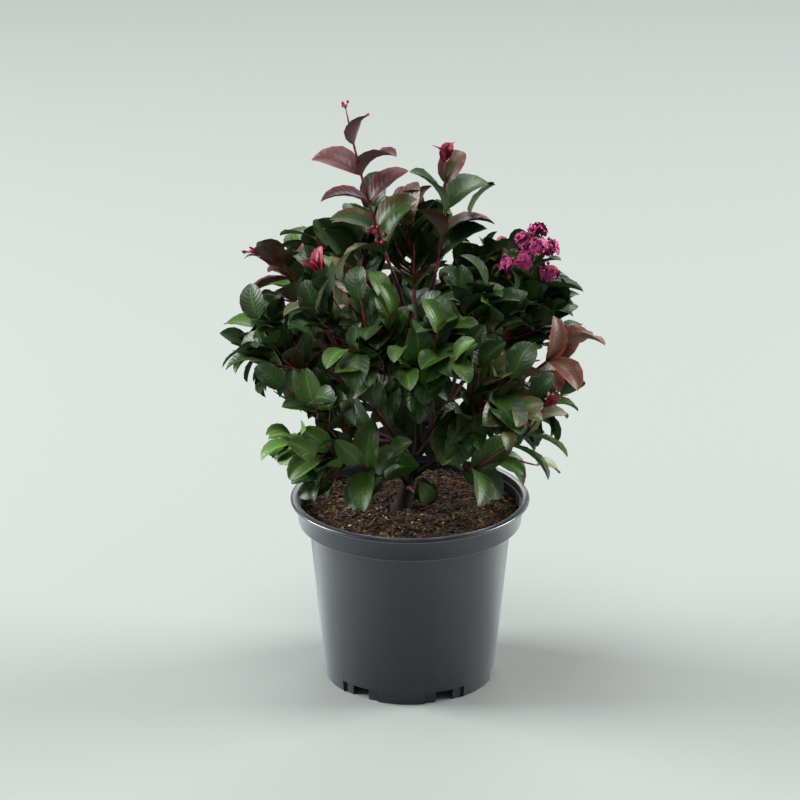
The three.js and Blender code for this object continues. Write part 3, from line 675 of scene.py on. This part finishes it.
class Mass:
    """One mass: a stem with pairs of leaves, and forks from its sides with pairs of their own."""

    def __init__(self, index):
        self.index = index
        (self.name, _, _, tip, end, self.pairs, self.forks, self.seed, self.length,
         self.ending) = MASSES[index]
        self.tints = tints_of[self.name]
        self.tip, self.end = np.array(tip, float), np.array(end, float)
        self.twigs, self.leaves, self.taken, self.beads = [], [], np.empty((0, 3)), []
        self.margin = LEAF_MARGIN
        self.dice = Dice(self.seed)
        flat = self.ending != "leaf"
        self.turn = math.pi / 2 + self.dice.between(-0.25, 0.25) if flat else self.dice.between(0, math.pi)
        self.stem = Limb(self.tip, limbs[self.name].way(1), 0.45, self.end, STEM_RADII)
        self.shoot(self.stem, self.pairs, self.turn, self.length, 0.1, self.ending)
        for fork in range(self.forks):
            for hand in (1, -1):
                self.fork(0.12 + 0.34 * fork, fork, hand, self.length * 0.9)

    def grow_finer(self):
        """More and smaller forks between the first ones, packed closer, as the real shrub has."""
        self.dice = Dice(self.seed + 1000)
        self.margin = FINE_MARGIN
        for share in FINE_PAIR_SHARES:
            turn = self.turn + 7 * share
            self.pair(limbs[self.name], share, turn, self.length * 0.85, PAIR_SPREAD, "deep")
        for number, share in enumerate(FINE_FORK_SHARES):
            for hand in (1, -1):
                self.fork(share, number + 0.5, hand, self.length * FINE_LENGTH, FINE_REACH)

    def fork(self, share, number, hand, length, reach_share=1.0):
        """A twig from the stem's side, at a quarter turn from the last, where the space is its own."""
        dice = self.dice
        root, along = self.stem.at(share), self.stem.way(share)
        quarter = math.pi / 2 * (number + 0.5) + (0 if hand > 0 else math.pi)
        out = around(along, self.turn + quarter + dice.between(-0.3, 0.3))
        way = unit(along * 0.75 + out * 0.8 + UP * 0.1)
        reach = np.linalg.norm(self.end - self.tip) * dice.between(0.5, 0.65) * reach_share
        tests = root + way * reach * np.array([[0.35], [0.675], [1]])
        if not in_space(self.index, tests, TWIG_MARGIN, TWIG_MARGIN):
            return
        start = unit(way * 0.8 + out * 0.4)
        twig = Limb(root, start, 0.45, root + way * reach, TWIG_RADII)
        self.shoot(twig, 2, self.turn + number + hand, length, 0.5, "leaf")

    def tint(self, base, young):
        """Outer leaves mostly take the outer tint, inner ones the inner tint or plain green."""
        along = self.end - self.tip
        outer = float((base - self.tip) @ along / (along @ along))
        if young and self.ending == "buds" and outer > 0.6:
            return self.tints[2]
        coloured = OUTER_SHARE * (1 if self.name in OPEN_MASSES else 0.6)
        if tint_spray.random() < (coloured if outer > 0.5 else 0.12):
            return self.tints[1]
        return self.tints[0] if tint_spray.random() < 0.75 else "mid"

    def shoot(self, twig, pairs, turn, length, first, ending):
        """Pairs of leaves along a twig, smaller towards its tip, and what the twig ends in."""
        self.twigs.append(twig)
        flat = ending != "leaf"
        step = self.dice.between(-0.2, 0.2) if flat else self.dice.between(0.25, 1.35)
        last = 0.78 if ending in ("buds", "shoot") else 0.94
        for pair in range(pairs):
            share = first + (last - first) * pair / (pairs - 1)
            young = pair == pairs - 1
            size = length * (0.7 if young else 1 - 0.1 * share)
            tint = self.tint(twig.at(share), young)
            self.pair(twig, share, turn + pair * step, size, PAIR_SPREAD * (0.6 if young else 1), tint)
        if ending == "shoot":
            self.pair(twig, 0.95, turn + step * pairs, length * 0.4, 0.5, self.tints[2])
        if ending == "panicle":
            self.panicle(twig)

    def pair(self, twig, share, angle, length, spread, tint):
        for half in (0, math.pi):
            self.leaf(twig, share, angle + half, length, spread, tint)

    def tuft(self):
        """The youngest leaves, still slim, that stand together at the tip of a shoot."""
        self.margin = TUFT_MARGIN
        for number in range(TUFT_LEAVES):
            self.leaf(self.stem, 0.97, self.turn + 1.3 * number, self.length * 0.3, 0.45,
                      self.tints[2], HALF_WIDTH * 0.45)

    def leaf(self, twig, share, angle, length, spread, tint, width=HALF_WIDTH):
        """One leaf, turned, closed or shortened in steps until it finds free space, or left out."""
        dice = self.dice
        jitter, arch = dice.between(-0.25, 0.25), dice.between(0.8, 1.5)
        fold, grown = dice.between(0.25, 0.5), length * dice.between(0.85, 1.1)
        lean = dice.between(-0.3, 0.3)
        base, way = twig.at(share), twig.way(share)
        light = UP * LEAF_LIFT + unit(base - CROWN_MIDDLE) * LEAF_SPLAY
        for turn, opened, size in TRIES:
            radial = around(way, angle + jitter + turn)
            axis = unit(way * math.cos(spread * opened) + radial * math.sin(spread * opened))
            level = square_to(light, axis)
            normal = level * math.cos(lean) + np.cross(level, axis) * math.sin(lean)
            leaf = {"base": base, "axis": axis, "normal": normal, "length": np.array(grown * size),
                    "arch": np.array(arch), "fold": np.array(fold),
                    "half": np.array(grown * size * width)}
            tests = leaf_surface(leaf, TEST_SHARES, TEST_ACROSS)
            free = len(self.taken) == 0 or (distances(tests, self.taken, self.taken + 1e-6 * UP).min()
                                            >= self.margin)
            if free and over_pot(tests) and in_space(self.index, tests, SPACE_MARGIN, LIMB_MARGIN):
                self.leaves.append((leaf, tint))
                self.taken = np.concatenate([self.taken, tests])
                return

    def panicle(self, twig):
        """Blossoms round a straight axis on short stalks, wide below and narrow above."""
        foot, way = twig.at(1), unit(twig.way(1) + UP)
        left = square_to(np.array([-1.0, 0, 0]), way)
        far = np.cross(way, left)
        self.twigs.append(Limb(foot, way, 0.5, foot + way * 40, TWIG_RADII))
        for bloom in range(8):
            share = bloom / 7
            out = 21 - 13 * share + self.dice.between(-2, 2)
            on_axis = foot + way * (6 + 34 * share)
            ray = left * math.cos(2.4 * bloom) + far * math.sin(2.4 * bloom)
            self.beads.append((on_axis - way * 4, on_axis + ray * out))


masses = [Mass(index) for index in range(len(MASSES))]
for mass in masses:
    if mass.name not in OPEN_MASSES:
        mass.grow_finer()
    if mass.ending == "shoot":
        mass.tuft()

# The bark: the trunk and the boughs as one woody frame, dark brown on old wood and reddish on the
# youngest limbs, with long low ridges and knots. The trunk flares where it meets the soil.
BARK_SIDES = 16
BARK_STEPS = 36


def sweep(limb, steps, sides, swell=None, start=0.0):
    """Rings round a limb from its start share to its tip: point + radius * a turning side direction,
    where swell(angle, share) is added to the radius. The last ring closes to the tip."""
    shares = np.linspace(start, 1, steps)
    angles = 2 * np.pi * np.arange(sides) / sides
    middle, way = limb.at(shares), limb.way(shares)
    front = square_to(FRONT, way)
    side = np.cross(way, front)
    radius = limb.radius(np.clip(shares, 0, 1))[:, None] + 0 * angles
    if swell is not None:
        radius = radius + swell(angles[None], shares[:, None])
    radius[-1] *= 0.3
    ring = front[:, None] * np.cos(angles)[:, None] + side[:, None] * np.sin(angles)[:, None]
    points = middle[:, None] + ring * radius[..., None]
    return points.reshape(-1, 3), radius.ravel()


def ridges(limb):
    """Bark relief: long ridges that wander round the limb, and at the trunk's foot a flare."""
    phase = float(np.sum(limb.tip)) % 6.28

    def swell(angle, share):
        wander = np.sin(share * 9 + phase) + 0.5 * np.sin(share * 31 + phase)
        ridge = np.sin(5 * angle + wander) * 0.5 + np.sin(9 * angle - 2 * wander) * 0.3
        knots = np.exp(-((np.sin(share * 11 + phase)) / 0.16) ** 2)
        relief = limb.radius(share) * (0.07 * ridge + 0.09 * knots)
        return relief + (4 * np.exp(-share * 7) if limb is limbs["trunk"] else 0)
    return swell


def joined(parts):
    """One array of points and one of faces from many (points, faces) of the same kind of face."""
    starts = np.cumsum([0] + [len(points) for points, _ in parts[:-1]])
    return (np.concatenate([points for points, _ in parts]),
            np.concatenate([faces + start for (_, faces), start in zip(parts, starts)]))


bark_parts = []
bark_youth = []
for name, limb in limbs.items():
    points, radius = sweep(limb, BARK_STEPS, BARK_SIDES, ridges(limb), -0.1 if name == "trunk" else 0.0)
    bark_parts.append((points, grid_faces(BARK_STEPS, BARK_SIDES, wrap=True)))
    bark_youth.append(np.clip((3.6 - radius) / 1.8, 0, 1))
bark_points, bark_faces = joined(bark_parts)
bark = start_material("bark")
bark_grain = noise(260, 5, (1, 1, 0.25))
bark_patch = noise(90, 4)
old_bark = bark_grain.ramp(0.35, 0.7).mix(colour(12, 8, 7), colour(38, 26, 21))
young_bark = bark_grain.ramp(0.3, 0.7).mix(colour(40, 14, 16), colour(80, 32, 33))
youth = (value("youth") + (bark_patch - 0.5) * 0.5).ramp(0.2, 0.8)
finish_material(
    Base_Color=youth.mix(old_bark, young_bark),
    Roughness=0.8 - 0.2 * value("youth"),
    Specular_IOR_Level=0.2,
    Normal=bumps(bark_grain + bark_patch * 0.5, 0.6, 0.0006),
)
wood = add_piece("trunk and boughs", bark_points, [bark_faces], bark,
                 values={"youth": np.concatenate(bark_youth)})
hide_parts("trunk", *[f"bough_{row[0]}" for row in MASSES])

# The twigs: crimson young wood, smooth and a little glossy, one thin tapering tube for every stem and
# fork, grown out of the bough's tip or the stem's side.
TWIG_STEPS, TWIG_SIDES = 9, 7
twig_parts = [(sweep(twig, TWIG_STEPS, TWIG_SIDES)[0], grid_faces(TWIG_STEPS, TWIG_SIDES, wrap=True))
              for mass in masses for twig in mass.twigs]
twig_points, twig_faces = joined(twig_parts)
twig_skin = start_material("young red twigs")
twig_cloud = noise(140, 4)
finish_material(
    Base_Color=twig_cloud.ramp(0.35, 0.68).mix(colour(72, 16, 24), colour(136, 44, 50)),
    Roughness=0.45,
    Normal=bumps(twig_cloud, 0.3, 0.0003),
)
twigs = add_piece("twigs", twig_points, [twig_faces], twig_skin)

# The leaves: thin glossy blades folded along a pale rib, with quilted veins, a paler underside and a
# slightly waved edge. Each tint is one piece, and every leaf in it has its own shade.
LEAF_THICKNESS = 0.35
VEINS = 9
VEIN_SWEEP = 0.2
RIPPLES = 15
RIPPLE_HEIGHT = 0.012
OUTLINE = ((0, 0.05), (0.04, 0.1), (0.1, 0.4), (0.2, 0.74), (0.36, 0.98), (0.53, 1.03), (0.7, 0.91),
           (0.85, 0.62), (0.95, 0.27), (1, 0.0))
LEAF_ACROSS = np.array([-1, -0.55, 0, 0.55, 1])
LEAF_TINTS = {
    "deep": ((12, 28, 9), (34, 62, 20), (44, 70, 24), (34, 42, 16)),
    "mid": ((24, 50, 14), (56, 88, 30), (66, 98, 34), (62, 70, 28)),
    # A lighter copy of the green tints: painted light for low leaves that catch more light.
    "fresh": ((34, 62, 19), (72, 108, 40), (84, 120, 48), (88, 104, 42)),
    "olive": ((46, 54, 25), (88, 94, 52), (56, 82, 32), (98, 52, 42)),
    "bronze": ((44, 24, 24), (84, 54, 48), (46, 62, 30), (100, 44, 44)),
    "purple": ((52, 24, 29), (96, 54, 56), (78, 44, 46), (112, 48, 56)),
    "rust": ((68, 36, 30), (110, 64, 52), (82, 62, 42), (126, 62, 48)),
    "pink": ((92, 12, 34), (146, 36, 60), (112, 24, 44), (150, 30, 58)),
    "pale": ((98, 102, 76), (148, 150, 118), (112, 124, 84), (142, 112, 92)),
}


def leaf_material(name, dark, light, heart, edge):
    """Veins and quilting in the blade's own place: u across from edge to edge, v from stalk to tip.
    The heart colour shows along the rib and at the foot of the blade, and the edge colour round it."""
    material = start_material(name)
    place = Wire.node("ShaderNodeUVMap", uv_map="place")
    across = abs(Wire.node("ShaderNodeSeparateXYZ", {"Vector": place}) * 2 - 1)
    along = Wire.node("ShaderNodeSeparateXYZ", {"Vector": place}, output=1)
    rib = 1 - across.ramp(0.02, 0.11)
    wave = ((along - across ** 1.4 * VEIN_SWEEP) * VEINS).maths("FRACT")
    vein = (1 - abs(wave - 0.5).ramp(0.02, 0.12)) * (1 - across.ramp(0.75, 1.0))
    quilt = (wave * math.pi).maths("SINE")
    under = value("under")
    cloud = noise(55, 3)
    blade = (cloud * 0.5 + value("shade") * 0.75 - 0.1).mix(colour(*dark), colour(*light))
    inner = 1 - (across * 0.7 + along * 0.6 + (cloud - 0.5) * 0.5).ramp(0.25, 0.8)
    top = (inner * 0.75).mix(blade, colour(*heart))
    margin = (across + (cloud - 0.5) * 0.5).ramp(0.55, 1.05)
    edged = (margin * 0.8).mix(top, colour(*edge))
    lit = tuple(min(255, part * 1.15 + 20) for part in heart)
    veined = (vein * 0.14).mix(edged, colour(*lit))
    ribbed = (rib * 0.45).mix(veined, colour(*lit))
    grey = tuple(part * 0.65 + 36 for part in light)
    finish_material(
        Base_Color=(under * 0.7).mix(ribbed, colour(*grey)),
        Roughness=0.34 + 0.25 * under + 0.1 * cloud,
        Specular_IOR_Level=0.28,
        Normal=bumps(quilt * (1 - rib) - rib * 0.8, 0.2, 0.0006),
    )
    return material


outline = np.array(OUTLINE)
leaf_share, leaf_across = np.meshgrid(outline[:, 0], LEAF_ACROSS, indexing="ij")
leaf_width = outline[:, 1:] * LEAF_ACROSS
for tint, colours in LEAF_TINTS.items():
    chosen = [leaf for mass in masses for leaf, name in mass.leaves if name == tint]
    leaves = {key: np.array([leaf[key] for leaf in chosen])
              for key in ("base", "axis", "normal", "length", "arch", "fold", "half")}
    count = len(chosen)
    phase = spray.uniform(0, 6.28, (count, 1))
    top_side = leaf_surface(leaves, leaf_share.ravel(), leaf_width.ravel())
    waves = np.sin(leaf_share.ravel() * RIPPLES + phase + leaf_across.ravel() * 2)
    ripple = waves * leaf_width.ravel() ** 2
    lifts = leaves["normal"][:, None] * (ripple * leaves["length"][:, None] * RIPPLE_HEIGHT)[..., None]
    top_side = top_side + lifts
    inner = (1 - np.abs(leaf_across.ravel())) ** 0.5 * LEAF_THICKNESS
    under_side = top_side - leaves["normal"][:, None] * inner[:, None]
    quads = grid_faces(len(outline), len(LEAF_ACROSS), count)
    points = np.concatenate([top_side.reshape(-1, 3), under_side.reshape(-1, 3)])
    faces = np.concatenate([quads, quads[:, ::-1] + len(points) // 2])
    place = np.stack([(leaf_across.ravel() + 1) / 2, leaf_share.ravel()], -1)
    shade = np.repeat(spray.random(count), leaf_share.size)
    piece = add_piece(
        f"{tint} leaves", points, [faces], leaf_material(f"{tint} leaf", *colours),
        uv=np.tile(place, (2 * count, 1)),
        values={"shade": np.tile(shade, 2), "under": np.repeat([0, 1], len(points) // 2)},
    )
    nodes = [f"leaves_{mass.name}" for mass in masses if mass.tints[1] == tint]
    if nodes:
        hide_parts(*nodes)

# The flowers: crinkled magenta petals on thin stalks with round crimson buds between them, in one
# panicle at the right, and bud clusters at the tips of the shoots that have not opened yet.
PETALS = 6
PETAL_ROWS, PETAL_COLUMNS = 6, 5
STALK_STEPS, STALK_SIDES = 4, 5
FLOWERS_ROUND_BLOOM = 10
LEADER_BUD_SHARES = (0.2, 0.27)
petal_row, petal_column = np.meshgrid(np.linspace(0, 1, PETAL_ROWS), np.linspace(-1, 1, PETAL_COLUMNS),
                                      indexing="ij")
stalk_parts, petal_parts, bud_centres, bud_sizes = [], [], [], []


def add_stalk(root, tip, radius):
    """A straight thin tube that tapers a little from root to tip."""
    limb = Limb(root, unit(tip - root), 0.5, tip, (radius, radius * 0.8))
    points = sweep(limb, STALK_STEPS, STALK_SIDES)[0]
    stalk_parts.append((points, grid_faces(STALK_STEPS, STALK_SIDES, wrap=True)))


def add_flower(middle, way, size):
    """Petals round a flower's axis: a narrow claw that widens to a frilled fan, bent outwards."""
    for petal in range(PETALS):
        out = around(way, 2 * math.pi * petal / PETALS + spray.uniform(-0.2, 0.2))
        side = np.cross(way, out)
        run = size * petal_row
        width = size * (0.08 + 0.5 * petal_row ** 1.6) * petal_column
        frill = size * 0.16 * petal_row ** 2 * np.sin(petal_column * 7 + spray.uniform(0, 6))
        rise = size * (0.5 * petal_row - 0.45 * petal_row ** 2) + frill
        grid = middle + run[..., None] * out + width[..., None] * side + rise[..., None] * way
        petal_parts.append((grid.reshape(-1, 3), grid_faces(PETAL_ROWS, PETAL_COLUMNS)))


def add_buds(root, lead, count, nearest, farthest, smallest, largest):
    """Round buds on short stalks that spread from one point towards a leading direction."""
    for bud in range(count):
        way = unit(spray.normal(0, 1, 3) + lead)
        bud_centres.append(root + way * spray.uniform(nearest, farthest))
        bud_sizes.append(spray.uniform(smallest, largest))
        add_stalk(root, bud_centres[-1], 0.35)


for mass in masses:
    for root, centre in mass.beads:
        add_stalk(root, centre, 0.45)
        for flower in range(FLOWERS_ROUND_BLOOM):
            way = unit(spray.normal(0, 1, 3) + UP * 0.4 + unit(centre - root) * 0.8)
            middle = centre + way * spray.uniform(1.5, 8)
            add_stalk(centre - way * 2, middle, 0.3)
            add_flower(middle, way, spray.uniform(4.0, 6.2))
        add_buds(centre, UP * 0.2, 7, 5, 11, 1.3, 2.3)
    if mass.ending == "buds":
        add_buds(mass.stem.at(1) - mass.stem.way(1) * 5, mass.stem.way(1) * 2.5, 7, 2, 8, 0.9, 1.6)
    if mass.name == "crown_top":
        for share in LEADER_BUD_SHARES:
            add_buds(mass.stem.at(share), FRONT * 1.5, 8, 4, 12, 1.6, 2.6)

petal_skin = start_material("magenta petals")
petal_cloud = noise(220, 3)
finish_material(Base_Color=petal_cloud.ramp(0.3, 0.7).mix(colour(112, 8, 66), colour(182, 36, 120)),
                Roughness=0.6, Normal=bumps(petal_cloud, 0.3, 0.0004))
petal_points, petal_faces = joined(petal_parts)
petals = add_piece("petals", petal_points, [petal_faces], petal_skin)
bud_skin = start_material("crimson buds")
finish_material(Base_Color=noise(300).mix(colour(92, 16, 34), colour(160, 44, 66)), Roughness=0.35)
buds = np.array(bud_centres)[:, None] + ball * np.array(bud_sizes)[:, None, None]
bud_faces = grid_faces(BALL_ROWS, BALL_SIDES, len(buds), wrap=True)
piece = add_piece("buds", buds, [bud_faces], bud_skin)
stalk_points, stalk_faces = joined(stalk_parts)
piece = add_piece("flower stalks", stalk_points, [stalk_faces], twig_skin)

# The stage: a plain pale floor, lit by broad soft lamps from both sides, from above and from behind.
FLOOR_HALF = 30
SKY_STRENGTH = 0.3
AIM_HEIGHT = 0.3
floor_paint = start_material("pale floor")
finish_material(Base_Color=colour(140, 145, 142), Roughness=0.9)
floor_mesh = bpy.data.meshes.new("floor")
floor_corners = [(x * FLOOR_HALF, y * FLOOR_HALF, 0) for x, y in ((-1, -1), (1, -1), (1, 1), (-1, 1))]
floor_mesh.from_pydata(floor_corners, [], [(0, 1, 2, 3)])
floor_mesh.materials.append(floor_paint)
floor = bpy.data.objects.new("floor", floor_mesh)
bpy.context.scene.collection.objects.link(floor)
floor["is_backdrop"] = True
world = bpy.data.worlds.new("studio")
world.use_nodes = True
world.node_tree.nodes["Background"].inputs["Color"].default_value = (1, 1, 0.98, 1)
world.node_tree.nodes["Background"].inputs["Strength"].default_value = SKY_STRENGTH
bpy.context.scene.world = world
LAMPS = (
    ("left lamp", (-4.2, 0.6, 2.3), 2.4, 430),
    ("right lamp", (4.2, 0.8, 2.1), 2.4, 330),
    ("top lamp", (-0.6, -0.5, 4.6), 2.2, 130),
    ("back lamp", (0.6, 4.0, 3.4), 3.0, 100),
)
for name, place, size, power in LAMPS:
    lamp = bpy.data.lights.new(name, "AREA")
    lamp.size = size
    lamp.energy = power
    holder = bpy.data.objects.new(name, lamp)
    holder.location = place
    aim = np.array([0, 0, AIM_HEIGHT]) - np.array(place)
    holder.rotation_euler = (math.atan2(math.hypot(aim[0], aim[1]), -aim[2]), 0,
                             math.atan2(aim[1], aim[0]) - math.pi / 2)
    bpy.context.scene.collection.objects.link(holder)

# The camera stands a little above the crown and looks down on it, from the front.
CAMERA_PLACE = (0, -2.41, 1.126)
CAMERA_DROP = 19.6
CAMERA_TURN = 0.0038
LENS = 126.6
bpy.context.scene.view_settings.view_transform = "Standard"
camera = bpy.data.objects.new("camera", bpy.data.cameras.new("camera"))
camera.data.sensor_width = 36
camera.data.lens = LENS
camera.data.clip_end = 50
camera.location = CAMERA_PLACE
camera.rotation_euler = (math.radians(90 - CAMERA_DROP), 0, CAMERA_TURN)
bpy.context.scene.collection.objects.link(camera)
bpy.context.scene.camera = camera

low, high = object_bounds()
sizes = {"cad": [list(cad_low), list(cad_high)], "visual": [list(low), list(high)]}
